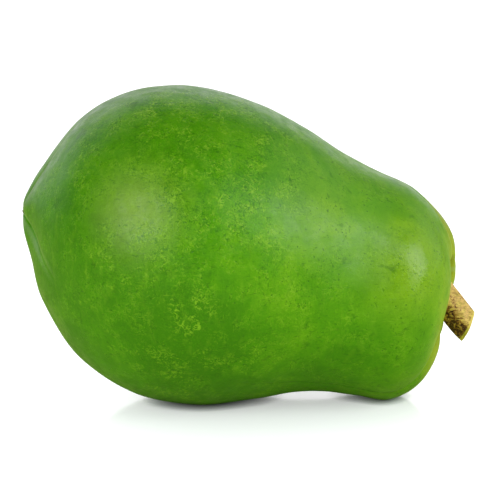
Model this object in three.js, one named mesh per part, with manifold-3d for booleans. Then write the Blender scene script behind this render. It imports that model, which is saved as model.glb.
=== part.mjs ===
// A whole green papaya, lying on its side as picked, with a cut stub of its stalk.
// Units are millimetres and +Z is up. The fruit lies along X, with its blossom tip at the
// low end and its stalk at the high end, and the side towards -Y is called its front.
// It rests on two small flat spots, one under the belly and one under the neck.

import * as THREE from "three";
import { mergeVertices } from "three/addons/utils/BufferGeometryUtils.js";
import Module from "manifold-3d";

// The fruit's outline seen from the front, in pairs of points: one on its back and one on
// its underside. Each point is its distance from the blossom tip and its height.
const TIP = { along: 0.4, height: 94 }; // the blossom scar, let in a little between the lobes
const HOLLOW = { along: 199, height: 55.5 }; // the middle of the hollow that holds the stalk
const OUTLINE = [
  { back: [TIP.along, TIP.height], under: [TIP.along, TIP.height] },
  { back: [0.8, 98.3], under: [0.9, 83.5] },
  { back: [3.2, 104], under: [4, 71] },
  { back: [10, 115.5], under: [9, 51] },
  { back: [28, 137.8], under: [27.5, 22] },
  { back: [51, 150.5], under: [54, 4.6] },
  { back: [78, 154], under: [86, -1.3] },
  { back: [112, 146], under: [112, 1.2] },
  { back: [137, 133], under: [130, 3.8] },
  { back: [155, 121], under: [146, 3.8] },
  { back: [174, 111], under: [161, 1.5] },
  { back: [192, 102.5], under: [177, -1] },
  { back: [203.5, 91], under: [193, 6.5] },
  { back: [211, 74.5], under: [202.8, 22] },
  { back: [210, 64.5], under: [203.6, 34] },
  { back: [205.5, 59], under: [199.5, 46.5] },
  { back: [HOLLOW.along, HOLLOW.height], under: [HOLLOW.along, HOLLOW.height] },
];
const CREST = 13; // the pair that lies on the shoulders' crest, counted from 0
// The shoulders' front and rear stand back from the outline's crest, or out past it. The
// fade is the cosine of the angle from the front or rear where they do so in full.
const SHOULDER_SWELL = { front: -4, rear: 3, pairs: 2, fade: 0.6 };

// The five lobes meet at creases. Each crease keeps its own angle round the fruit, in
// degrees up from the front, near the tip and near the stalk.
const LOBES = 5;
const CREASES_AT_TIP = [86, 148, 208, 272, 335];
const CREASES_AT_STALK = [92, 165, 212, 254, 295];
const LOBE_DEPTH = { tip: 2.2, belly: 0.5, shoulder: 2.6 };
const LOBE_REACH = { tip: 22, shoulder: 28 }; // how far each set of lobes runs along the fruit
const CREASE_DEPTH = 0.9;
const CREASE_WIDTH = 2.2;
const SLIM_RADIUS = 12; // lobes die away inside this radius, towards the fruit's two ends

// The stalk is a stub that leaves the hollow along the fruit's axis, bends down and is cut
// on the slant. A collar of five dried flower teeth rings its foot.
const STALK_RADIUS = 7.3;
const STALK_RIB = 0.3;
const STALK_FLARE = 1.6; // how much wider the foot is
const STALK_FLARE_LENGTH = 5;
const STALK_ROOT = 4; // the length that is sunk into the fruit
const STALK_END = { along: 217, height: 34.3 };
const STALK_END_SLOPE = 45; // degrees down from level
const STALK_END_PULL = 10; // how far before its end the stalk is already straight
const CUT_SLOPE = 23; // degrees down from level, for the way that the cut faces
const COLLAR = { radius: 9.2, tooth: 2.8, thickness: 1.4, points: 60 };
const GAP = 0.3; // between the stalk and the fruit round it

const FRUIT_GRID = { around: 72, along: 50 };
const STALK_GRID = { around: 30, along: 14 };
const ROW_CROWDING = 0.5; // rows sit this much closer together at the fruit's two ends
const OVERALL_MIDDLE = 110.2; // distance from the blossom tip to the middle of the whole length

const { degToRad, lerp, clamp, smoothstep, euclideanModulo } = THREE.MathUtils;
const wasm = await Module();
wasm.setup();

// A closed three.js geometry as a solid that can be joined and cut.
function solidOf(geometry) {
  const bare = geometry.clone();
  bare.deleteAttribute("normal");
  bare.deleteAttribute("uv");
  const merged = mergeVertices(bare, 1e-3);
  return new wasm.Manifold(
    new wasm.Mesh({
      numProp: 3,
      vertProperties: merged.attributes.position.array,
      triVerts: new Uint32Array(merged.index.array),
    }),
  );
}

// A joined or cut solid as a three.js geometry.
function geometryOf(solid) {
  const mesh = solid.getMesh();
  const geometry = new THREE.BufferGeometry();
  geometry.setAttribute("position", new THREE.BufferAttribute(mesh.vertProperties, 3));
  geometry.setIndex(new THREE.BufferAttribute(mesh.triVerts, 1));
  geometry.computeVertexNormals();
  return geometry;
}

// A ball's grid of rows and columns, with each vertex moved to place(share, angle): its
// share of the way from one pole to the other, and its angle round them.
function shapedBall({ around, along }, place) {
  const ball = new THREE.SphereGeometry(1, around, along);
  const { position, uv } = ball.attributes;
  for (let i = 0; i < position.count; i++) {
    const point = place(1 - uv.getY(i), 2 * Math.PI * uv.getX(i));
    position.setXYZ(i, point.x, point.y, point.z);
  }
  return ball;
}

// The fruit's axis runs from the blossom tip to the floor of the hollow.
const front = new THREE.Vector3(0, -1, 0);
const tip = new THREE.Vector3(TIP.along, 0, TIP.height);
const hollow = new THREE.Vector3(HOLLOW.along, 0, HOLLOW.height);
const axis = hollow.clone().sub(tip).normalize();
const up = new THREE.Vector3(0, 0, 1).projectOnPlane(axis).normalize();
const axisLength = hollow.distanceTo(tip);

const outlineCurve = (side) =>
  new THREE.CatmullRomCurve3(
    OUTLINE.map((pair) => new THREE.Vector3(pair[side][0], 0, pair[side][1])),
    false,
    "centripetal",
  );
const back = outlineCurve("back");
const under = outlineCurve("under");

// The fruit before its lobes: round across, and drawn out to its two outlines.
function plainSkin(t, angle) {
  const share = (1 + Math.sin(angle)) / 2;
  const high = back.getPoint(t).sub(tip);
  const low = under.getPoint(t).sub(tip);
  const radius = lerp(-low.dot(up), high.dot(up), share);
  const fromCrest = Math.abs(t * (OUTLINE.length - 1) - CREST);
  const aside = Math.cos(angle);
  const swell = aside > 0 ? SHOULDER_SWELL.front : SHOULDER_SWELL.rear;
  const fadedIn = smoothstep(Math.abs(aside), 0, SHOULDER_SWELL.fade);
  const swollen = swell * fadedIn * (1 - smoothstep(fromCrest, 0, SHOULDER_SWELL.pairs));
  const along = lerp(low.dot(axis), high.dot(axis), share) + swollen;
  return tip
    .clone()
    .addScaledVector(axis, along)
    .addScaledVector(up, radius * Math.sin(angle))
    .addScaledVector(front, radius * Math.cos(angle));
}

// How far the skin dips at a point, by where that lies between two creases.
function lobeDip(point, angle) {
  const offset = point.clone().sub(tip);
  const along = offset.dot(axis);
  const radius = offset.addScaledVector(axis, -along).length();
  const share = clamp(along / axisLength, 0, 1);
  const beyond = CREASES_AT_TIP.map((crease, i) =>
    euclideanModulo(angle - degToRad(lerp(crease, CREASES_AT_STALK[i], share)), 2 * Math.PI),
  );
  const last = Math.min(...beyond);
  const next = 2 * Math.PI - Math.max(...beyond);
  const nearest = Math.min(last, next);
  const toCrest = nearest / ((last + next) / 2);
  const nearTip = 1 - smoothstep(along, 0, LOBE_REACH.tip);
  const nearStalk = smoothstep(along, axisLength - LOBE_REACH.shoulder, axisLength);
  const depth =
    LOBE_DEPTH.belly +
    (LOBE_DEPTH.tip - LOBE_DEPTH.belly) * nearTip +
    (LOBE_DEPTH.shoulder - LOBE_DEPTH.belly) * nearStalk;
  const crease = CREASE_DEPTH * Math.exp(-(((nearest * radius) / CREASE_WIDTH) ** 2));
  const slim = Math.min(1, radius / SLIM_RADIUS);
  return slim * (depth * (1 - toCrest) ** 2 + crease * Math.max(nearTip, nearStalk));
}

// The skin with its lobes, each point let in square to the plain skin.
function skin(t, angle) {
  const point = plainSkin(t, angle);
  const step = 1e-3;
  const lengthwise = plainSkin(Math.min(1, t + step), angle);
  lengthwise.sub(plainSkin(Math.max(0, t - step), angle));
  const crosswise = plainSkin(t, angle + step).sub(plainSkin(t, angle - step));
  const inward = crosswise.cross(lengthwise).normalize();
  return point.addScaledVector(inward, lobeDip(point, angle));
}

function fruitSolid() {
  const grid = shapedBall(FRUIT_GRID, (share, angle) => {
    const crowding = (ROW_CROWDING * Math.sin(2 * Math.PI * share)) / (2 * Math.PI);
    return skin(back.getUtoTmapping(share - crowding), angle);
  });
  return solidOf(grid);
}

// The stalk's centre line, from its root to its cut end.
const wayDown = (slope) => new THREE.Vector3(Math.cos(slope), 0, -Math.sin(slope));
const endWay = wayDown(degToRad(STALK_END_SLOPE));
const cutWay = wayDown(degToRad(CUT_SLOPE));
const stalkEnd = new THREE.Vector3(STALK_END.along, 0, STALK_END.height);
const stalkLine = new THREE.CubicBezierCurve3(
  hollow.clone().addScaledVector(axis, -STALK_ROOT),
  hollow.clone().addScaledVector(axis, STALK_ROOT),
  stalkEnd.clone().addScaledVector(endWay, -STALK_END_PULL),
  stalkEnd,
);

// The stalk's grid: the two poles are the middles of its end faces, and the rows between
// run along its side. The rows slide along towards the slant of the cut. A spare length
// swells the whole stalk, for the socket that it stands in.
function stalkSolid(spare) {
  const sides = STALK_GRID.along - 2;
  const grid = shapedBall(STALK_GRID, (share, angle) => {
    const row = Math.round(share * STALK_GRID.along);
    const t = clamp((row - 1) / sides, 0, 1);
    const way = stalkLine.getTangentAt(t);
    const over = way.clone().cross(front).negate();
    const fromFloor = Math.max(0, t * stalkLine.getLength() - STALK_ROOT);
    const flare = STALK_FLARE * Math.exp(-((fromFloor / STALK_FLARE_LENGTH) ** 2));
    const side = STALK_RADIUS + flare + STALK_RIB * Math.cos(LOBES * angle) + spare;
    const radius = row === 0 || row === STALK_GRID.along ? 0 : side;
    const out = over.multiplyScalar(Math.sin(angle) * radius);
    out.addScaledVector(front, Math.cos(angle) * radius);
    const slantShare = t ** 3; // only the rows near the cut slide far
    const slant = (-out.dot(cutWay) / way.dot(cutWay)) * slantShare;
    const spareEnd = spare * (2 * t - 1);
    return stalkLine.getPointAt(t).add(out).addScaledVector(way, slant + spareEnd);
  });
  return solidOf(grid);
}

// Stands a geometry made along +Z on the fruit's axis, a given height above the hollow's floor.
function onAxis(geometry, height) {
  const place = new THREE.Matrix4().makeBasis(up, front, axis);
  place.setPosition(hollow.clone().addScaledVector(axis, height));
  return geometry.applyMatrix4(place);
}

// The collar's teeth stand at even angles round the stalk's foot.
function collarSolid() {
  const outline = [];
  for (let i = 0; i < COLLAR.points; i++) {
    const angle = (2 * Math.PI * i) / COLLAR.points;
    const tooth = ((1 + Math.cos(LOBES * angle)) / 2) ** 2;
    const radius = COLLAR.radius + COLLAR.tooth * tooth;
    outline.push(new THREE.Vector2(radius * Math.cos(angle), radius * Math.sin(angle)));
  }
  const plate = new THREE.ExtrudeGeometry(new THREE.Shape(outline), {
    depth: COLLAR.thickness,
    bevelEnabled: false,
  });
  return solidOf(onAxis(plate, 0));
}

// A round pocket for the collar, from just below the hollow's floor up to clear air.
function collarPocket() {
  const clearAir = 12;
  const radius = COLLAR.radius + COLLAR.tooth + GAP;
  const pocket = new THREE.CylinderGeometry(radius, radius, clearAir + GAP, STALK_GRID.around);
  pocket.rotateX(Math.PI / 2);
  return solidOf(onAxis(pocket, (clearAir - GAP) / 2));
}

// The table's level cuts the two flat spots.
function belowTable(solid) {
  const size = 400;
  const block = new THREE.BoxGeometry(size, size, size).translate(0, 0, -size / 2);
  return solid.subtract(solidOf(block));
}

const fruitBody = belowTable(fruitSolid()).subtract(stalkSolid(GAP)).subtract(collarPocket());
const stalkBody = stalkSolid(0).add(collarSolid());

const skinGreen = new THREE.MeshStandardMaterial({ color: 0x5a9a1c, roughness: 0.38, metalness: 0 });
const stalkTan = new THREE.MeshStandardMaterial({ color: 0xc39a4a, roughness: 0.75, metalness: 0 });

function piece(name, solid, material) {
  const mesh = new THREE.Mesh(geometryOf(solid), material);
  mesh.name = name;
  return mesh;
}

const fruit = piece("fruit", fruitBody, skinGreen);
const stalk = piece("stalk", stalkBody, stalkTan);
const lying = new THREE.Group();
lying.add(fruit, stalk);
lying.position.x = -OVERALL_MIDDLE;

const papaya = new THREE.Group();
papaya.add(lying);
export default papaya;
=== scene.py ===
# %% [markdown]
# # A green papaya on a white table
#
# The real thing is a whole unripe papaya, lying on its belly and on the underside of its neck,
# with a short cut stub of stalk at the narrow end. It was modelled first as plain solids, and
# this script dresses them: each solid is replaced by a finer piece of the same form with a
# painted skin. A script is used here and not the mouse because a fruit is easiest to describe
# as a few curves and rules, which can be read, changed and run again.
#
# Blender works in metres. The fruit lies along X with its stalk towards +X, Z is up, and the
# camera looks at it from the side of -Y, its front.

# %% Load the solids
import math

import bmesh
import bpy
import numpy as np
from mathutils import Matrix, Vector, noise


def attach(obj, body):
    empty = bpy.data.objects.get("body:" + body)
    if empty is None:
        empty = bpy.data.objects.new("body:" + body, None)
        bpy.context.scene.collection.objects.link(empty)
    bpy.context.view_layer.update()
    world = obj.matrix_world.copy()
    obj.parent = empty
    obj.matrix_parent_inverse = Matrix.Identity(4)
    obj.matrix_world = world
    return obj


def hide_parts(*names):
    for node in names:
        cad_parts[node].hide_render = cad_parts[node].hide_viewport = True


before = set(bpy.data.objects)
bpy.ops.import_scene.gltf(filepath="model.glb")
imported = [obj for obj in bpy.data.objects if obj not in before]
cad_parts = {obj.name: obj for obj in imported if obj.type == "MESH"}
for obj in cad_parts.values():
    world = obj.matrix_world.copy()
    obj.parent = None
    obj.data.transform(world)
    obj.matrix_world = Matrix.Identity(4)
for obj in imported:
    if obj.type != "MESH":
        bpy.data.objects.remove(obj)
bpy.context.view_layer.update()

# %% [markdown]
# ## The camera
#
# A product photograph like this one is taken from well back with a long lens, so the fruit
# hardly narrows with distance. The camera is placed by three plain numbers: how far it is
# turned round the fruit, how high it looks down from, and how far away it stands. The lens
# follows from how many metres of the scene the frame has to cover.

# %% Place the camera
CAMERA_TURN = math.radians(-3)
CAMERA_RISE = math.radians(12)
CAMERA_DISTANCE = 1.2
LOOK_AT = Vector((0, 0, 0.0734))
FRAME_COVERS = 0.2425


def direction(turn, rise):
    """The way from the fruit to something turned and raised by these angles."""
    level = math.cos(rise)
    return Vector((math.sin(turn) * level, -math.cos(turn) * level, math.sin(rise)))


camera_data = bpy.data.cameras.new("camera")
camera_data.lens = camera_data.sensor_width * CAMERA_DISTANCE / FRAME_COVERS
camera = bpy.data.objects.new("camera", camera_data)
bpy.context.scene.collection.objects.link(camera)
bpy.context.scene.camera = camera
to_camera = direction(CAMERA_TURN, CAMERA_RISE)
camera.location = LOOK_AT + CAMERA_DISTANCE * to_camera
camera.rotation_euler = (-to_camera).to_track_quat("-Z", "Y").to_euler()
print("lens", round(camera_data.lens), "mm")

# %% [markdown]
# ## Small helpers for node trees
#
# Every finish below is a node tree. Making a node, setting it up and wiring it takes several
# lines each time, so two helpers do it. A plain number or colour is typed into the node's own
# socket, and another node's output is linked to it.


# %% Node helpers
def wire(tree, socket, value):
    """Puts a value in a socket, or links another node's output to it."""
    if isinstance(value, bpy.types.NodeSocket):
        tree.links.new(value, socket)
    else:
        socket.default_value = value


def add_node(tree, kind, inputs=(), **settings):
    """Adds a node, sets its properties, and fills its sockets by name."""
    node = tree.nodes.new(f"ShaderNode{kind}")
    for name, value in settings.items():
        setattr(node, name, value)
    for name, value in dict(inputs).items():
        wire(tree, node.inputs[name], value)
    return node


def ease(tree, value, start, end, low=0.0, high=1.0):
    """Goes smoothly from low to high while value goes from start to end."""
    given = {"Value": value, "From Min": start, "From Max": end, "To Min": low, "To Max": high}
    return add_node(tree, "MapRange", given, interpolation_type="SMOOTHSTEP").outputs[0]


def sum_up(tree, operation, first, second=0.0, third=0.0):
    """One Math node."""
    node = add_node(tree, "Math", operation=operation)
    for socket, value in zip(node.inputs, (first, second, third)):
        wire(tree, socket, value)
    return node.outputs[0]


def blend(tree, share, below, above):
    """Lays one colour over another by a share."""
    node = add_node(tree, "Mix", data_type="RGBA")
    colours = [socket for socket in node.inputs if socket.type == "RGBA"]
    wire(tree, node.inputs[0], share)
    for socket, value in zip(colours, (below, above)):
        wire(tree, socket, value)
    return next(socket for socket in node.outputs if socket.type == "RGBA")


# %% [markdown]
# ## The table and the studio
#
# The photograph was taken on a shiny white table in a white studio. A large disc makes the
# table, and the studio is made of three kinds of light. The world is bright only low down
# behind the fruit, where a lit backdrop stands: it is mirrored along the fruit's top edge. The
# rest of the room is dim, which keeps the skin's green deep. Two soft boxes, left and right of
# the camera, give the skin its broad glows, and are hidden from the camera itself. Last, a wide
# overhead light is linked to the table alone. It turns the table white and drops the soft shadow
# under the fruit without washing out the fruit's back.
#
# The table plays two parts. The camera sees it white, with a faint glow that is held back where
# the fruit all but touches it, so that a thin dark line of painted contact shadow shows there.
# What lights the fruit from below is a dull green instead: a white table would wash out the
# underside, which is deep green in the photograph.

# %% Lay the table
TABLE_RADIUS = 8.0
TABLE_SIDES = 96
TABLE_WHITE = (0.9, 0.905, 0.95, 1)
TABLE_BOUNCE = (0.5, 0.6, 0.17, 1)
TABLE_GLOW = 0.44
CONTACT_SHADE_REACH = 0.004
TABLE_ROUGHNESS = 0.12
TABLE_SHINE = 0.55

table_shape = bmesh.new()
bmesh.ops.create_circle(table_shape, cap_ends=True, radius=TABLE_RADIUS, segments=TABLE_SIDES)
table_mesh = bpy.data.meshes.new("table")
table_shape.to_mesh(table_mesh)
table_shape.free()
table = bpy.data.objects.new("table", table_mesh)
bpy.context.scene.collection.objects.link(table)

table_white = bpy.data.materials.new("table_white")
table_white.use_nodes = True
table_tree = table_white.node_tree
table_shader = table_tree.nodes["Principled BSDF"]
seen = add_node(table_tree, "LightPath").outputs["Is Camera Ray"]
table_colour = blend(table_tree, seen, TABLE_BOUNCE, TABLE_WHITE)
wire(table_tree, table_shader.inputs["Base Color"], table_colour)
# The glow is held back where the fruit all but touches the table: a painted contact shadow.
contact_shade = add_node(table_tree, "AmbientOcclusion", {"Distance": CONTACT_SHADE_REACH}, samples=4)
glow = sum_up(table_tree, "MULTIPLY", contact_shade.outputs["AO"], TABLE_GLOW)
glow = sum_up(table_tree, "MULTIPLY", seen, glow)
wire(table_tree, table_shader.inputs["Emission Strength"], glow)
table_shader.inputs["Emission Color"].default_value = (1, 1, 1, 1)
table_shader.inputs["Roughness"].default_value = TABLE_ROUGHNESS
shine = sum_up(table_tree, "MULTIPLY", seen, TABLE_SHINE)
wire(table_tree, table_shader.inputs["Specular IOR Level"], shine)
table_mesh.materials.append(table_white)
print("table laid,", 2 * TABLE_RADIUS, "m across")

# %% Light the studio
# Each bright part of the room has a strength, the way it lies, and the soft start and end of its
# edge, as the cosine of the angle away from it. The backdrop also fades out towards the ceiling.
BACKDROP_LIGHT = 1.25
BACKDROP_WAY = direction(math.radians(-165), math.radians(6))
BACKDROP_EDGE = (0.65, 0.78)
BACKDROP_TOP = (0.64, 0.74)
SIDE_LIGHT = 0.8
SIDE_WAY = direction(math.radians(105), math.radians(25))
SIDE_EDGE = (0.8, 0.95)
ROOM_LIGHT = 0.03
SOFT_BOXES = {
    "left_soft_box": {"turn": -36, "rise": 24, "size": 0.8, "power": 10},
    "right_soft_box": {"turn": 55, "rise": 28, "size": 0.8, "power": 9.5},
}
SOFT_BOX_DISTANCE = 1.4
OVERHEAD = {"energy": 2.1, "spread": math.radians(110), "turn": 235, "rise": 62}

world = bpy.data.worlds.new("white_studio")
world.use_nodes = True
bpy.context.scene.world = world
studio = world.node_tree
way = add_node(studio, "TexCoord").outputs["Generated"]
apart = add_node(studio, "SeparateXYZ", {"Vector": way}).outputs
turned = add_node(studio, "VectorMath", {0: way, 1: BACKDROP_WAY}, operation="DOT_PRODUCT")
behind = ease(studio, turned.outputs["Value"], *BACKDROP_EDGE)
low_down = ease(studio, apart["Z"], *BACKDROP_TOP, 1, 0)
lit = sum_up(studio, "MULTIPLY", behind, low_down)
strength = sum_up(studio, "MULTIPLY_ADD", lit, BACKDROP_LIGHT - ROOM_LIGHT, ROOM_LIGHT)
turned = add_node(studio, "VectorMath", {0: way, 1: SIDE_WAY}, operation="DOT_PRODUCT")
beside = ease(studio, turned.outputs["Value"], *SIDE_EDGE, 0, SIDE_LIGHT)
strength = sum_up(studio, "ADD", strength, beside)
wire(studio, studio.nodes["Background"].inputs["Strength"], strength)
studio.nodes["Background"].inputs["Color"].default_value = (1, 1, 1, 1)


def hang_light(name, light, turn, rise):
    """Hangs a light round the fruit, pointing at it."""
    holder = bpy.data.objects.new(name, light)
    out = direction(math.radians(turn), math.radians(rise))
    holder.location = LOOK_AT + SOFT_BOX_DISTANCE * out
    holder.rotation_euler = out.to_track_quat("Z", "Y").to_euler()
    holder.visible_camera = False
    bpy.context.scene.collection.objects.link(holder)
    return holder


for name, box in SOFT_BOXES.items():
    light = bpy.data.lights.new(name, "AREA")
    light.energy = box["power"]
    light.size = box["size"]
    hang_light(name, light, box["turn"], box["rise"])

overhead = bpy.data.lights.new("overhead", "SUN")
overhead.energy = OVERHEAD["energy"]
overhead.angle = OVERHEAD["spread"]
overhead_holder = hang_light("overhead", overhead, OVERHEAD["turn"], OVERHEAD["rise"])
table_only = bpy.data.collections.new("table_only")
table_only.objects.link(table)
overhead_holder.light_linking.receiver_collection = table_only
bpy.context.scene.view_settings.view_transform = "Standard"
print(len(SOFT_BOXES), "soft boxes and an overhead light hung")

# %% [markdown]
# ## The fruit's outline
#
# Seen from the front, a papaya is drawn by two lines: its back and its underside. Both start
# at the blossom tip and end in the hollow that holds the stalk. The points below are read off
# the photograph and scaled to millimetres, as distance from the tip and height. The hollow is
# hidden there, so its points are guessed. A straight polyline would
# show its corners, so a smooth curve is drawn through the points. The kind used here, a
# centripetal Catmull-Rom curve, passes through every point and doesn't overshoot between them.

# %% The outline's points
TIP = (0.4, 94)
HOLLOW = (199, 55.5)
BACK = [
    TIP, (0.8, 98.3), (3.2, 104), (10, 115.5), (28, 137.8), (51, 150.5), (78, 154), (112, 146),
    (137, 133), (155, 121), (174, 111), (192, 102.5), (203.5, 91), (211, 74.5), (210, 64.5),
    (205.5, 59), HOLLOW,
]
UNDERSIDE = [
    TIP, (0.9, 83.5), (4, 71), (9, 51), (27.5, 22), (54, 4.6), (86, -1.3), (112, 1.2),
    (130, 3.8), (146, 3.8), (161, 1.5), (177, -1), (193, 6.5), (202.8, 22), (203.6, 34),
    (199.5, 46.5), HOLLOW,
]
CREST = 13
SHOULDER_SWELL = {"front": -4, "rear": 3, "pairs": 2, "fade": 0.6}
MIDDLE = 110.2
MM = 0.001


class SmoothLine:
    """A smooth curve through points, read at a share of the way from first to last."""

    def __init__(self, points):
        points = np.array(points, float)
        before, after = 2 * points[0] - points[1], 2 * points[-1] - points[-2]
        padded = np.vstack([before, points, after])
        knots = np.sqrt(np.linalg.norm(np.diff(padded, axis=0), axis=1))[:, None]
        p0, p1, p2, p3 = (padded[i : len(points) - 1 + i] for i in range(4))
        d0, d1, d2 = (knots[i : len(points) - 1 + i] for i in range(3))
        leave = ((p1 - p0) / d0 - (p2 - p0) / (d0 + d1) + (p2 - p1) / d1) * d1
        arrive = ((p2 - p1) / d1 - (p3 - p1) / (d1 + d2) + (p3 - p2) / d2) * d1
        self.parts = (p1, leave, 3 * (p2 - p1) - 2 * leave - arrive, 2 * (p1 - p2) + leave + arrive)

    def at(self, share):
        spans = len(self.parts[0])
        place = np.clip(share, 0, 1) * spans
        span = np.minimum(place.astype(int), spans - 1)
        rest = (place - span)[:, None]
        a, b, c, d = (part[span] for part in self.parts)
        return a + rest * (b + rest * (c + rest * d))


back, underside = SmoothLine(BACK), SmoothLine(UNDERSIDE)
print("back is", len(BACK), "points, underside", len(UNDERSIDE))

# %% [markdown]
# ## The plain body between the two lines
#
# A straight axis runs from the tip to the hollow. Round it, every cross-section is a circle
# that reaches the back above and the underside below, so a point on the skin needs only two
# numbers: its share of the way along and its angle up from the front. The shoulders' front and
# rear are pushed a little along the axis, because the lobe nearest the camera is the shorter.

# %% The plain body
tip = np.array([TIP[0], 0, TIP[1]])
hollow = np.array([HOLLOW[0], 0, HOLLOW[1]])
front = np.array([0.0, -1, 0])
axis_length = np.linalg.norm(hollow - tip)
axis = (hollow - tip) / axis_length
up = np.array([-axis[2], 0, axis[0]])


def smooth_step(value, start, end):
    """Goes smoothly from 0 to 1 while value goes from start to end."""
    share = np.clip((value - start) / (end - start), 0, 1)
    return share * share * (3 - 2 * share)


def flat_to_space(points):
    """Points of an outline, measured from the tip in the front view's plane."""
    return np.stack([points[:, 0], np.zeros(len(points)), points[:, 1]], axis=1) - tip


def plain_skin(share, angle):
    """Points of the skin before its lobes, in millimetres."""
    high, low = flat_to_space(back.at(share)), flat_to_space(underside.at(share))
    upper = (1 + np.sin(angle)) / 2
    radius = -(low @ up) * (1 - upper) + (high @ up) * upper
    along = (low @ axis) * (1 - upper) + (high @ axis) * upper
    from_crest = np.abs(share * (len(BACK) - 1) - CREST)
    swell = np.where(np.cos(angle) > 0, SHOULDER_SWELL["front"], SHOULDER_SWELL["rear"])
    swell = swell * smooth_step(np.abs(np.cos(angle)), 0, SHOULDER_SWELL["fade"])
    along = along + swell * (1 - smooth_step(from_crest, 0, SHOULDER_SWELL["pairs"]))
    return (
        tip
        + along[:, None] * axis
        + (radius * np.sin(angle))[:, None] * up
        + (radius * np.cos(angle))[:, None] * front
    )


# %% [markdown]
# ## Lobes and creases
#
# A papaya grows from five parts, and it shows: five soft lobes meet at shallow creases at the
# tip and again at the shoulders, and fade out over the belly. Each skin point is let in by a
# depth that grows towards its nearest crease. Carving this in by rule, and not with separate
# lobes, keeps the skin one closed surface with no seams. The same rule also tells the paint
# where the creases are, so each point's distance from its nearest crease is kept as an attribute.

# %% Let in the lobes
CREASES_AT_TIP = np.radians([86, 148, 208, 272, 335])
CREASES_AT_STALK = np.radians([92, 165, 212, 254, 295])
LOBE_DEPTH = {"tip": 2.2, "belly": 0.5, "shoulder": 2.6}
LOBE_REACH = {"tip": 22, "shoulder": 28}
CREASE_DEPTH = 0.9
CREASE_WIDTH = 2.2
# Closer to the axis than this, lobes and unevenness fade out, so that both ends stay tidy.
SLIM_RADIUS = 12
FULL_TURN = 2 * math.pi


def lobes(points, angle):
    """How deep each point is let in, how far it is from a crease, and where it lies."""
    offset = points - tip
    along = offset @ axis
    radius = np.linalg.norm(offset - along[:, None] * axis, axis=1)
    share = np.clip(along / axis_length, 0, 1)[:, None]
    creases = CREASES_AT_TIP * (1 - share) + CREASES_AT_STALK * share
    beyond = (angle[:, None] - creases) % FULL_TURN
    last, following = beyond.min(axis=1), FULL_TURN - beyond.max(axis=1)
    nearest = np.minimum(last, following)
    to_crest = nearest / ((last + following) / 2)
    near_tip = 1 - smooth_step(along, 0, LOBE_REACH["tip"])
    near_stalk = smooth_step(along, axis_length - LOBE_REACH["shoulder"], axis_length)
    depth = (
        LOBE_DEPTH["belly"]
        + (LOBE_DEPTH["tip"] - LOBE_DEPTH["belly"]) * near_tip
        + (LOBE_DEPTH["shoulder"] - LOBE_DEPTH["belly"]) * near_stalk
    )
    line = np.exp(-((nearest * radius / CREASE_WIDTH) ** 2))
    slim = np.minimum(1, radius / SLIM_RADIUS)
    sharp = CREASE_DEPTH * line * np.maximum(near_tip, near_stalk)
    dip = slim * (depth * (1 - to_crest) ** 2 + sharp)
    from_crease = np.where(last < following, last, -following) * radius
    return dip, from_crease, share[:, 0], radius


def skin(share, angle):
    """Points of the plain skin before its lobes, in millimetres, with the way out of the skin at
    each.
    """
    step = 1e-3
    points = plain_skin(share, angle)
    lengthwise = plain_skin(share + step, angle) - plain_skin(share - step, angle)
    crosswise = plain_skin(share, angle + step) - plain_skin(share, angle - step)
    outward = np.cross(lengthwise, crosswise)
    outward /= np.maximum(np.linalg.norm(outward, axis=1), 1e-9)[:, None]
    return points, outward


# %% [markdown]
# ## From a ball to a fruit
#
# A UV sphere already is a closed surface with rows and columns, so the fruit starts as one.
# Each vertex is then carried to its place on the skin. Its rows are spread evenly along the
# back and drawn a little closer together towards the two ends, where the form turns fastest.
# Real skin is never quite even, so a slow noise also lifts and sinks it by a fraction of a
# millimetre. At the far shoulder, four low swells and an evened crease make the slim bulge that
# shows past the near lobe. Then the hollow for the stalk is let into the end, and last, the two
# places that the fruit rests on are pressed flat at the table.

# %% Shape the fruit
AROUND, ALONG = 300, 230
ROW_CROWDING = 0.5
# The slow noise: sizes in metres, heights in millimetres.
SWELLS = ((0.022, 0.35), (0.009, 0.1))
# Local swells: centre, size and height, all in millimetres.
BUMPS = (
    ((52, -55, 79), 14, -1.4),
    ((84, -32, 74), 10, 1.0),
    ((105, 11, 69), 8.3, -1.8),
    ((100, 21, 54), 10.9, 2.5),
)
# Where a crease is evened out: centre, size, and the share of its depth that goes.
EVENED = ((103, 18, 58), 9.5, 0.9)
WAX_INSET = 0.15
SCAR = {"radius": 1.6, "depth": 0.6}
POCKET = {"radius": 12.3, "fade": 4, "floor": -0.3}
SOCKET = {"radius": 9.6, "depth": 4.3}


def shaped_ball(around, along, place):
    """A UV sphere whose vertices are moved to place(share, angle), both as arrays."""
    shape = bmesh.new()
    bmesh.ops.create_uvsphere(shape, u_segments=around, v_segments=along, radius=1)
    unit = np.array([vertex.co for vertex in shape.verts])
    share = 1 - np.arccos(np.clip(unit[:, 2], -1, 1)) / math.pi
    angle = -np.arctan2(unit[:, 1], unit[:, 0])
    for vertex, point in zip(shape.verts, place(share, angle)):
        vertex.co = point
    return shape


def along_back(share):
    """Turns a share of the back's length into a share of its points."""
    fine = np.linspace(0, 1, 4000)
    steps = np.linalg.norm(np.diff(back.at(fine), axis=0), axis=1)
    walked = np.concatenate([[0], np.cumsum(steps)])
    return np.interp(share, walked / walked[-1], fine)


def near_to(points, centre, size):
    """One at a centre, in millimetres of the finished frame, and softly nothing away from it."""
    apart = np.linalg.norm(points - [centre[0] + MIDDLE, centre[1], centre[2]], axis=1)
    return np.exp(-((apart / size) ** 2))


fruit_paint = {}


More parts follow.
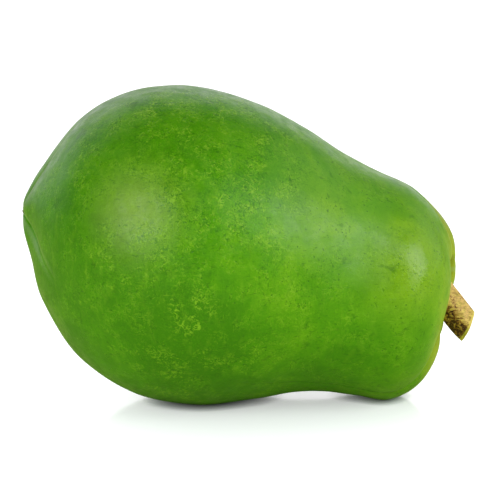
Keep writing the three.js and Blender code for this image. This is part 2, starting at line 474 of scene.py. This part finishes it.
def fruit_place(share, angle):
    """Points of the fruit in metres. Keeps what the paint needs in fruit_paint."""
    crowding = ROW_CROWDING * np.sin(FULL_TURN * share) / FULL_TURN
    points, outward = skin(along_back(share - crowding), angle)
    dip, from_crease, along, radius = lobes(points, angle)
    centre, size, evened = EVENED
    dip = dip * (1 - evened * near_to(points, centre, size))
    scar = SCAR["depth"] * (along < 0.1) * np.exp(-((radius / SCAR["radius"]) ** 2))
    lift = -WAX_INSET - dip - scar
    for size, height in SWELLS:
        swell = np.array([noise.noise(Vector(point) * MM / size) for point in points])
        lift += height * swell * np.minimum(1, radius / SLIM_RADIUS)
    for centre, size, height in BUMPS:
        lift += height * near_to(points, centre, size)
    points = points + lift[:, None] * outward
    above_floor = (points - hollow) @ axis
    kept = smooth_step(radius, POCKET["radius"], POCKET["radius"] + POCKET["fade"])
    wanted = above_floor * kept + POCKET["floor"] * (1 - kept)
    wanted = np.where(radius < SOCKET["radius"], -SOCKET["depth"], wanted)
    points += (np.where(along > 0.9, wanted - above_floor, 0))[:, None] * axis
    points[:, 2] = np.maximum(points[:, 2], 0)
    facing = (outward @ axis) * (along > 0.5)
    fruit_paint.update(from_crease=from_crease * MM, from_axis=radius * MM)
    fruit_paint.update(along=along, facing=facing)
    return (points - [MIDDLE, 0, 0]) * MM


def finish_piece(name, shape, paint=None):
    """Turns a bmesh into a smooth-shaded object, with numbers for its material to read."""
    mesh = bpy.data.meshes.new(name)
    shape.to_mesh(mesh)
    shape.free()
    for title, values in (paint or {}).items():
        layer = mesh.attributes.new(title, "FLOAT", "POINT")
        layer.data.foreach_set("value", values.astype(np.float32))
    mesh.shade_smooth()
    piece = bpy.data.objects.new(name, mesh)
    bpy.context.scene.collection.objects.link(piece)
    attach(piece, "root")
    print(name, "has", len(mesh.vertices), "vertices and", len(mesh.polygons), "faces")
    return piece


fruit = finish_piece("papaya_fruit", shaped_ball(AROUND, ALONG, fruit_place), fruit_paint)
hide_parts("fruit")

# %% [markdown]
# ## The stalk
#
# The stub leaves the hollow along the fruit's axis, bends down and was cut on the slant with a
# knife. Five dried teeth of the flower's calyx are still grown to its foot. All of this is one
# more ball: a small table says, row by row from pole to pole, how far along the stub a row lies,
# how much of the full radius it keeps, how far it reaches out into the teeth, and how deep it
# sinks into the cut face, whose soft middle dries and shrinks. The rows near the cut are also
# slid along the stub until they lie in its slanting plane.

# %% Shape the stalk
STALK_AROUND, STALK_ALONG = 120, 130
STALK_RADIUS = 7.3
STALK_RIB = 0.3
STALK_FLARE = 1.6
STALK_FLARE_LENGTH = 5
STALK_ROOT = 4
STALK_END = np.array([217, 0, 34.3])
STALK_END_SLOPE = math.radians(45)
STALK_END_PULL = 10
CUT_SLOPE = math.radians(23)
LOBES = 5
TOOTH_REACH = 2.7
WRINKLE = 0.12
WRINKLES_AROUND, WRINKLES_ALONG = 4, 1.5


def way_down(slope):
    """The way that falls towards +X at this slope."""
    return np.array([math.cos(slope), 0, -math.sin(slope)])


STALK_POINTS = np.array(
    [
        hollow - STALK_ROOT * axis,
        hollow + STALK_ROOT * axis,
        STALK_END - STALK_END_PULL * way_down(STALK_END_SLOPE),
        STALK_END,
    ]
)


def stalk_line(t):
    """The stub's centre line and the way it runs there, for a share of its curve."""
    t = t[:, None]
    a, b, c, d = STALK_POINTS
    line = (1 - t) ** 3 * a + 3 * t * (1 - t) ** 2 * b + 3 * t**2 * (1 - t) * c + t**3 * d
    run = (1 - t) ** 2 * (b - a) + 2 * t * (1 - t) * (c - b) + t**2 * (d - c)
    return line, run / np.linalg.norm(run, axis=1)[:, None]


fine_t = np.linspace(0, 1, 500)
walked = np.linalg.norm(np.diff(stalk_line(fine_t)[0], axis=0), axis=1)
walked = np.concatenate([[0], np.cumsum(walked)])
STALK_LENGTH = walked[-1]
# Each row: share of the way, millimetres along, share of the radius, tooth, sinking.
STALK_ROWS = np.array(
    [
        (0, 0, 0, 0, 0),
        (0.05, 0, 1, 0, 0),
        (0.12, STALK_ROOT + 0.1, 1, 0, 0),
        (0.18, STALK_ROOT + 0.5, 1, 1, 0),
        (0.20, STALK_ROOT + 0.95, 1, 1, 0),
        (0.26, STALK_ROOT + 1.3, 1, 0, 0),
        (0.74, STALK_LENGTH, 1, 0, 0),
        (0.77, STALK_LENGTH, 0.955, 0, 0),
        (0.82, STALK_LENGTH, 0.88, 0, 0.35),
        (0.91, STALK_LENGTH, 0.45, 0, 0.6),
        (1, STALK_LENGTH, 0, 0, 0.75),
    ]
)
CUT_FROM = 0.74
stalk_paint = {}


def stalk_place(share, angle):
    """Points of the stub in metres. Keeps what the paint needs in stalk_paint."""
    rows = [np.interp(share, STALK_ROWS[:, 0], STALK_ROWS[:, i]) for i in range(1, 5)]
    distance, part, toothed, sinking = rows
    t = np.interp(distance, walked, fine_t)
    line, run = stalk_line(t)
    over = np.cross(front, run)
    from_floor = np.maximum(0, distance - STALK_ROOT)
    flare = STALK_FLARE * np.exp(-((from_floor / STALK_FLARE_LENGTH) ** 2))
    ring = np.stack([np.cos(angle), np.sin(angle)]) * WRINKLES_AROUND
    around = np.stack([*ring, WRINKLES_ALONG * t], axis=1)
    wrinkle = WRINKLE * np.array([noise.noise(Vector(place)) for place in around])
    tooth = ((1 + np.cos(LOBES * angle)) / 2) ** 2 * toothed
    side = STALK_RADIUS + flare + STALK_RIB * np.cos(LOBES * angle) + wrinkle
    side = side * part + TOOTH_REACH * tooth
    out = over * (np.sin(angle) * side)[:, None] + front * (np.cos(angle) * side)[:, None]
    cut = way_down(CUT_SLOPE)
    slide = -(out @ cut) / (run @ cut) * t**3 - sinking
    stalk_paint.update(distance=distance * MM, rim=part, tooth=tooth)
    stalk_paint.update(cut_face=(share > CUT_FROM) * 1.0)
    return (line + out + slide[:, None] * run - [MIDDLE, 0, 0]) * MM


stalk = finish_piece("stalk_stub", shaped_ball(STALK_AROUND, STALK_ALONG, stalk_place), stalk_paint)
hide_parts("stalk")

# %% [markdown]
# ## The skin's colour
#
# Green papaya skin is built up in layers, and the node tree follows them from large to small.
# One number, the tone, runs from deep green at the tip to yellow-green at the neck and is
# pushed up and down by slow clouds, by quicker patches and by a few spots named one by one. A
# colour ramp turns it into the ground colour. Three spots are also tinted yellow, a painted warm
# highlight where the photograph's glows look warm. All textures read Object coordinates, which
# are metres here, so a scale of 1000 gives marks a millimetre wide. A stretched copy of the
# coordinates draws marks out along the fruit.

# %% Paint the skin's ground colour
TONES = (
    (0.0, (0.055, 0.24, 0.0015, 1)),
    (0.33, (0.078, 0.3, 0.002, 1)),
    (0.66, (0.115, 0.36, 0.003, 1)),
    (1.0, (0.18, 0.435, 0.005, 1)),
)
LIGHT_FLECK = (0.235, 0.49, 0.022, 1)
DARK_FLECK = (0.03, 0.15, 0.002, 1)
DEEP_GREEN = (0.044, 0.205, 0.0015, 1)
YELLOW = (0.55, 0.56, 0.05, 1)
# The pale painted highlight laid along the creases' lips.
LIP_HIGHLIGHT = (0.38, 0.55, 0.24, 1)
DRIED_BROWN = (0.07, 0.04, 0.015, 1)
# What the tone is made of: a start, and how much the way along the fruit, the upper side, the
# clouds and the patches add.
TONE = {"start": -1.35, "along": 0.7, "upper": 0.25, "clouds": 1.4, "patches": 1.1}
# Spots: where they are on the skin and how wide, in metres, and how they push the tone.
TONE_SPOTS = (
    ((0.084, -0.024, 0.052), 0.032, 0.3),
    ((-0.059, -0.037, 0.016), 0.032, 0.35),
    ((0.090, -0.014, 0.045), 0.008, -0.6),
    ((-0.058, -0.070, 0.068), 0.034, -0.3),
    ((-0.086, -0.045, 0.107), 0.030, -0.2),
    ((-0.030, -0.070, 0.051), 0.038, -0.8),
    ((-0.038, -0.058, 0.029), 0.034, -0.25),
    ((0.038, -0.044, 0.026), 0.040, -0.4),
    ((0.068, -0.052, 0.040), 0.030, -0.3),
)
# Spots of painted warm highlight, tinted yellow where the soft boxes glow: where, how wide, and how
# far.
GLOW_TINT_SPOTS = (
    ((-0.055, -0.066, 0.106), 0.036, 0.22),
    ((0.030, -0.055, 0.100), 0.036, 0.08),
    ((0.073, -0.048, 0.074), 0.040, 0.2),
)

skin_finish = bpy.data.materials.new("papaya_skin")
skin_finish.use_nodes = True
tree = skin_finish.node_tree
shader = tree.nodes["Principled BSDF"]
where = add_node(tree, "TexCoord").outputs["Object"]


def grain(place, scale, detail=2.0, roughness=0.5, distortion=0.0):
    """A noise texture in the tree at hand, as a number around a half."""
    given = {"Vector": place, "Scale": scale, "Detail": detail, "Roughness": roughness}
    given["Distortion"] = distortion
    return add_node(tree, "TexNoise", given).outputs["Fac"]


def stretched(place, turn, scale):
    """Coordinates turned in the front view and then stretched."""
    given = {"Vector": place, "Rotation": (0, math.radians(turn), 0), "Scale": scale}
    return add_node(tree, "Mapping", given).outputs[0]


def painted(name):
    """A number that was stored on the mesh."""
    return add_node(tree, "Attribute", attribute_name=name).outputs["Fac"]


def spot(centre, radius):
    """One at a point of the skin, and softly nothing beyond a radius."""
    apart = add_node(tree, "VectorMath", {0: where, 1: centre}, operation="DISTANCE")
    return ease(tree, apart.outputs["Value"], 0, radius, 1, 0)


along_fruit = painted("along")
from_crease = sum_up(tree, "ABSOLUTE", painted("from_crease"))
from_axis = painted("from_axis")

clouds = grain(where, 22, 3, 0.55)
patches = grain(where, 110, 4, 0.65, 0.5)
places = add_node(tree, "SeparateXYZ", {"Vector": where}).outputs
tone = sum_up(tree, "MULTIPLY_ADD", along_fruit, TONE["along"], TONE["start"])
tone = sum_up(tree, "ADD", ease(tree, places["Z"], 0.03, 0.1, 0, TONE["upper"]), tone)
tone = sum_up(tree, "MULTIPLY_ADD", clouds, TONE["clouds"], tone)
tone = sum_up(tree, "MULTIPLY_ADD", patches, TONE["patches"], tone)
for centre, radius, push in TONE_SPOTS:
    tone = sum_up(tree, "MULTIPLY_ADD", spot(centre, radius), push, tone)
ramp = add_node(tree, "ValToRGB", {"Fac": tone})
stops = ramp.color_ramp.elements
while len(stops) < len(TONES):
    stops.new(0.5)
for stop, (place, colour) in zip(stops, TONES):
    stop.position = place
    stop.color = colour
colour = ramp.outputs["Color"]
# The glows' painted warm highlight.
for centre, radius, share in GLOW_TINT_SPOTS:
    glow_tint = sum_up(tree, "MULTIPLY", spot(centre, radius), share)
    colour = blend(tree, glow_tint, colour, YELLOW)
print("ground colour mixed from", len(TONES), "greens")

# %% [markdown]
# ## Flecks, dashes and scuffs
#
# Close up the skin is alive with marks: pale yellow-green flecks, pale worms and dark threads
# that wriggle, dark pits, dashes drawn out lengthwise, thin pale scuffs from handling, and a few
# dark specks. Most are cut out of a noise by a threshold. The worms and threads are the thin
# lines along which a noise crosses a half. Most kinds are kept to patches of their own by a
# second, slower noise, as on the real fruit. The flecks, worms and threads are also calmer at
# the neck and at the lower left.

# %% Paint the marks
# How far each kind of mark covers the ground colour.
COVER = {
    "flecks": 0.45, "worms": 0.9, "threads": 0.9, "dashes": 0.5, "scuffs": 0.55,
    "streaks": 0.2, "blotches": 0.4, "specks": 0.75,
}
# Where the left soft box glows, the pits fade out: a painted highlight.
GLOW_SPOT = ((-0.055, -0.066, 0.106), 0.032)


def both(first, second):
    """One share of another."""
    return sum_up(tree, "MULTIPLY", first, second)


def wriggles(scale, thickness, distortion, break_scale):
    """Thin lines where a noise crosses a half, broken into short lengths by a second noise."""
    crossing = sum_up(tree, "SUBTRACT", grain(where, scale, 1, 0.4, distortion), 0.5)
    lines = ease(tree, sum_up(tree, "ABSOLUTE", crossing), thickness * 0.5, thickness, 1, 0)
    return both(lines, ease(tree, grain(where, break_scale, 1), 0.5, 0.54))


fine = grain(where, 1200, 2, 0.6)
busy = ease(tree, grain(where, 38, 2), 0.4, 0.6, 0.35, 1)
busy = both(busy, ease(tree, along_fruit, 0.45, 0.75, 1, 0.45))
from_low_left = sum_up(tree, "MULTIPLY_ADD", places["Z"], 2.5, along_fruit)
busy = both(busy, ease(tree, from_low_left, 0.3, 0.55, 0.55, 1))
shade = both(sum_up(tree, "SUBTRACT", fine, 0.5), busy)
shade = sum_up(tree, "MULTIPLY_ADD", shade, 0.9, 1)
shaded = add_node(tree, "VectorMath", {"Vector": colour, "Scale": shade}, operation="SCALE")
colour = shaded.outputs["Vector"]

fleck_patches = ease(tree, grain(where, 110, 3, 0.6), 0.42, 0.6, 0.15, 1)
for scale, wriggle in ((420, 1.6), (760, 1.2)):
    flecks = ease(tree, grain(where, scale, 2, 0.6, wriggle), 0.57, 0.63)
    flecks = both(flecks, both(fleck_patches, busy))
    colour = blend(tree, both(flecks, COVER["flecks"]), colour, LIGHT_FLECK)

for scale, thickness in ((230, 0.04), (400, 0.055)):
    worms = both(wriggles(scale, thickness, 0.8, scale * 1.5), fleck_patches)
    colour = blend(tree, both(worms, both(busy, COVER["worms"])), colour, LIGHT_FLECK)

dark_patches = ease(tree, grain(where, 75, 3, 0.6), 0.42, 0.54)
dark_patches = both(dark_patches, ease(tree, places["Z"], 0.05, 0.12, 0.45, 1))
for scale, thickness in ((300, 0.035), (520, 0.05)):
    threads = both(wriggles(scale, thickness, 1.0, scale * 1.4), dark_patches)
    colour = blend(tree, both(threads, both(busy, COVER["threads"])), colour, DEEP_GREEN)

pits = ease(tree, grain(where, 700, 1, 0.5), 0.635, 0.695)
# Pits fade under the left glow: a painted highlight.
pits = both(pits, both(fleck_patches, ease(tree, spot(*GLOW_SPOT), 0, 1, 0.6, 0.1)))
colour = blend(tree, pits, colour, DARK_FLECK)

dashes = ease(tree, grain(stretched(where, 10, (260, 1200, 1200)), 1, 2, 0.5, 0.4), 0.6, 0.7)
dash_patches = ease(tree, grain(where, 60, 3, 0.6), 0.6, 0.46)
colour = blend(tree, both(both(dashes, dash_patches), COVER["dashes"]), colour, DARK_FLECK)

scuffs = ease(tree, grain(stretched(where, 40, (110, 900, 1500)), 1, 2, 0.5), 0.64, 0.74)
scuff_patches = ease(tree, grain(where, 45, 2), 0.5, 0.62)
colour = blend(tree, both(both(scuffs, scuff_patches), COVER["scuffs"]), colour, LIGHT_FLECK)

streaks = ease(tree, grain(stretched(where, 5, (260, 260, 70)), 1, 3, 0.6), 0.5, 0.75)
colour = blend(tree, both(streaks, COVER["streaks"]), colour, LIGHT_FLECK)

blotches = ease(tree, grain(where, 170, 2, 0.5, 0.5), 0.64, 0.74)
colour = blend(tree, both(blotches, COVER["blotches"]), colour, DARK_FLECK)

cells = add_node(tree, "TexVoronoi", {"Vector": where, "Scale": 230, "Randomness": 1})
drawn = sum_up(tree, "FRACT", both(cells.outputs["Color"], 7.3))
chosen = ease(tree, drawn, 0.7, 0.72)
specks = both(ease(tree, cells.outputs["Distance"], 0.06, 0.11, 1, 0), chosen)
colour = blend(tree, both(specks, COVER["specks"]), colour, DARK_FLECK)
print("marks painted")

# %% [markdown]
# ## Creases, shoulders and scars
#
# The creases hold a thin dark line of painted shade where two lobes press together, best seen
# past the waist, and their lips carry a thin pale line of painted highlight. The shoulders that
# face the stalk are yellow-green. The brown ring round the stalk's foot and the small brown scar
# that the flower left at the other end are guesses, because neither can be seen in the
# photograph. These marks follow the form, so they read the numbers that were stored on the mesh.

# %% Paint what follows the form
ragged = grain(where, 300, 3, 0.6)
# A thin dark line of painted shade in the creases past the waist.
past_waist = ease(tree, along_fruit, 0.5, 0.8)
crease_shade = both(ease(tree, from_crease, 0.0002, 0.0009, 1, 0), past_waist)
crease_shade = both(crease_shade, ease(tree, ragged, 0.4, 0.52))
colour = blend(tree, both(crease_shade, 0.6), colour, DARK_FLECK)

rearward = ease(tree, places["Y"], -0.02, 0.01)
facing = sum_up(tree, "MULTIPLY_ADD", rearward, 0.4, painted("facing"))
facing = ease(tree, sum_up(tree, "MULTIPLY_ADD", patches, 0.3, facing), 0.95, 1.3)
colour = blend(tree, both(facing, 0.6), colour, YELLOW)
one_side = painted("from_crease")
# A pale line of painted highlight along the near lobe's lip at the shoulder.
lip_highlight = both(ease(tree, one_side, -0.0045, -0.003), ease(tree, one_side, -0.0005, -0.0015))
lip_highlight = both(lip_highlight, both(ease(tree, along_fruit, 0.8, 0.9), ease(tree, places["Z"], 0.05, 0.06)))
colour = blend(tree, both(lip_highlight, 0.4), colour, LIP_HIGHLIGHT)
# Pale lines of painted highlight beside the creases near the tip.
tip_lip_highlight = both(ease(tree, from_crease, 0.0004, 0.0014), ease(tree, from_crease, 0.005, 0.002))
tip_lip_highlight = both(tip_lip_highlight, ease(tree, along_fruit, 0.12, 0.03))
colour = blend(tree, both(tip_lip_highlight, 0.3), colour, LIP_HIGHLIGHT)
near_stalk = both(ease(tree, from_axis, 0.011, 0.016, 1, 0), ease(tree, along_fruit, 0.9, 0.93))
colour = blend(tree, both(near_stalk, 0.85), colour, DRIED_BROWN)
scar = both(ease(tree, from_axis, 0.0008, 0.0028, 1, 0), ease(tree, along_fruit, 0.1, 0.08))
colour = blend(tree, both(scar, 0.9), colour, DRIED_BROWN)
wire(tree, shader.inputs["Base Color"], colour)

# %% [markdown]
# ## The skin's gloss
#
# The skin has a thin coat of natural wax. It shines softly where it is clean and less where
# it was rubbed, so its roughness is never one number. A fine bump breaks the gloss into
# tiny sparkles, and the marks stand out or sink in by a few hundredths of a millimetre.

# %% Set the gloss
ROUGHNESS = (0.3, 0.44)
SHINE = 0.3
# The neck is glossiest here: the place, its radius, and how much smoother it is.
POLISHED = ((0.077, -0.046, 0.077), 0.026)
POLISH = -0.18
SKIN_RELIEF = 0.00008
rubbed = ease(tree, grain(where, 160, 4, 0.65), 0.35, 0.65, *ROUGHNESS)
rubbed = sum_up(tree, "MULTIPLY_ADD", scuffs, 0.1, rubbed)
rubbed = sum_up(tree, "MULTIPLY_ADD", spot(*POLISHED), POLISH, rubbed)
wire(tree, shader.inputs["Roughness"], rubbed)
shader.inputs["Specular IOR Level"].default_value = SHINE
relief = sum_up(tree, "MULTIPLY_ADD", fine, 0.5, grain(where, 500, 3, 0.6))
relief = sum_up(tree, "MULTIPLY_ADD", worms, 0.5, relief)
relief = sum_up(tree, "MULTIPLY_ADD", specks, -0.8, relief)
relief = sum_up(tree, "MULTIPLY_ADD", crease_shade, -1.5, relief)
bump = add_node(tree, "Bump", {"Height": relief, "Distance": SKIN_RELIEF, "Strength": 1.0})
wire(tree, shader.inputs["Normal"], bump.outputs["Normal"])
fruit.data.materials.append(skin_finish)
print("skin has", len(tree.nodes), "nodes")

# %% [markdown]
# ## The stalk's bark
#
# The stub is straw yellow with a pink flush along its top, and its underside is stained brown
# and black where sap dried in the bark's furrows. Its cut face is pale, with a thin bright rim.
# The fibres run along the stub, so the noise is turned to its slope and stretched that way.

# %% Paint the stalk
STRAW = (1.0, 0.74, 0.18, 1)
PINK_FLUSH = (1.0, 0.62, 0.27, 1)
OLIVE = (0.46, 0.27, 0.045, 1)
SAP_BROWN = (0.38, 0.09, 0.025, 1)
SAP_BLACK = (0.055, 0.012, 0.008, 1)
CUT_YELLOW = (1.0, 0.8, 0.16, 1)
PITH = (0.42, 0.33, 0.16, 1)
BARK_SLOPE = 38
BARK_RELIEF = 0.0004

stalk_finish = bpy.data.materials.new("stalk_bark")
stalk_finish.use_nodes = True
tree = stalk_finish.node_tree
shader = tree.nodes["Principled BSDF"]
where = add_node(tree, "TexCoord").outputs["Object"]
height = add_node(tree, "SeparateXYZ", {"Vector": where}).outputs["Z"]
distance = painted("distance")
# Height above the stub's own centre line, which falls as it runs out.
line_start, line_end = HOLLOW[1] * MM, STALK_END[2] * MM
centre = ease(tree, distance, 0.002, STALK_LENGTH * MM, line_start, line_end)
side = sum_up(tree, "SUBTRACT", height, centre)

fibres = grain(stretched(where, BARK_SLOPE, (160, 900, 900)), 1, 4, 0.65)
colour = blend(tree, ease(tree, fibres, 0.35, 0.65), OLIVE, STRAW)
flush = both(ease(tree, side, -0.001, 0.005), ease(tree, grain(where, 320, 2), 0.36, 0.6))
colour = blend(tree, both(flush, 0.5), colour, PINK_FLUSH)
low_side = both(ease(tree, side, 0.004, 0.0), ease(tree, distance, 0.0125, 0.02))
low_side = both(low_side, ease(tree, side, -0.008, -0.005))
blots = grain(stretched(where, BARK_SLOPE, (400, 540, 540)), 1, 4, 0.7, 0.6)
stain = sum_up(tree, "MULTIPLY_ADD", low_side, 0.22, blots)
colour = blend(tree, both(ease(tree, stain, 0.56, 0.68), 0.8), colour, SAP_BROWN)
stain = ease(tree, stain, 0.66, 0.74)
colour = blend(tree, both(stain, 0.95), colour, SAP_BLACK)
colour = blend(tree, ease(tree, painted("tooth"), 0.05, 0.5), colour, DRIED_BROWN)
fresh_edge = ease(tree, distance, (STALK_LENGTH - 1.8) * MM, (STALK_LENGTH - 1.0) * MM)
colour = blend(tree, both(fresh_edge, 0.85), colour, CUT_YELLOW)
face = blend(tree, ease(tree, painted("rim"), 0.8, 0.95), PITH, CUT_YELLOW)
face = blend(tree, both(ease(tree, grain(where, 900, 3, 0.6), 0.5, 0.7), 0.4), face, OLIVE)
colour = blend(tree, painted("cut_face"), colour, face)
wire(tree, shader.inputs["Base Color"], colour)
wire(tree, shader.inputs["Roughness"], ease(tree, fibres, 0.3, 0.7, 0.75, 0.5))
relief = sum_up(tree, "MULTIPLY_ADD", stain, -0.5, fibres)
bump = add_node(tree, "Bump", {"Height": relief, "Distance": BARK_RELIEF, "Strength": 1.0})
wire(tree, shader.inputs["Normal"], bump.outputs["Normal"])
stalk.data.materials.append(stalk_finish)
print("bark has", len(tree.nodes), "nodes")
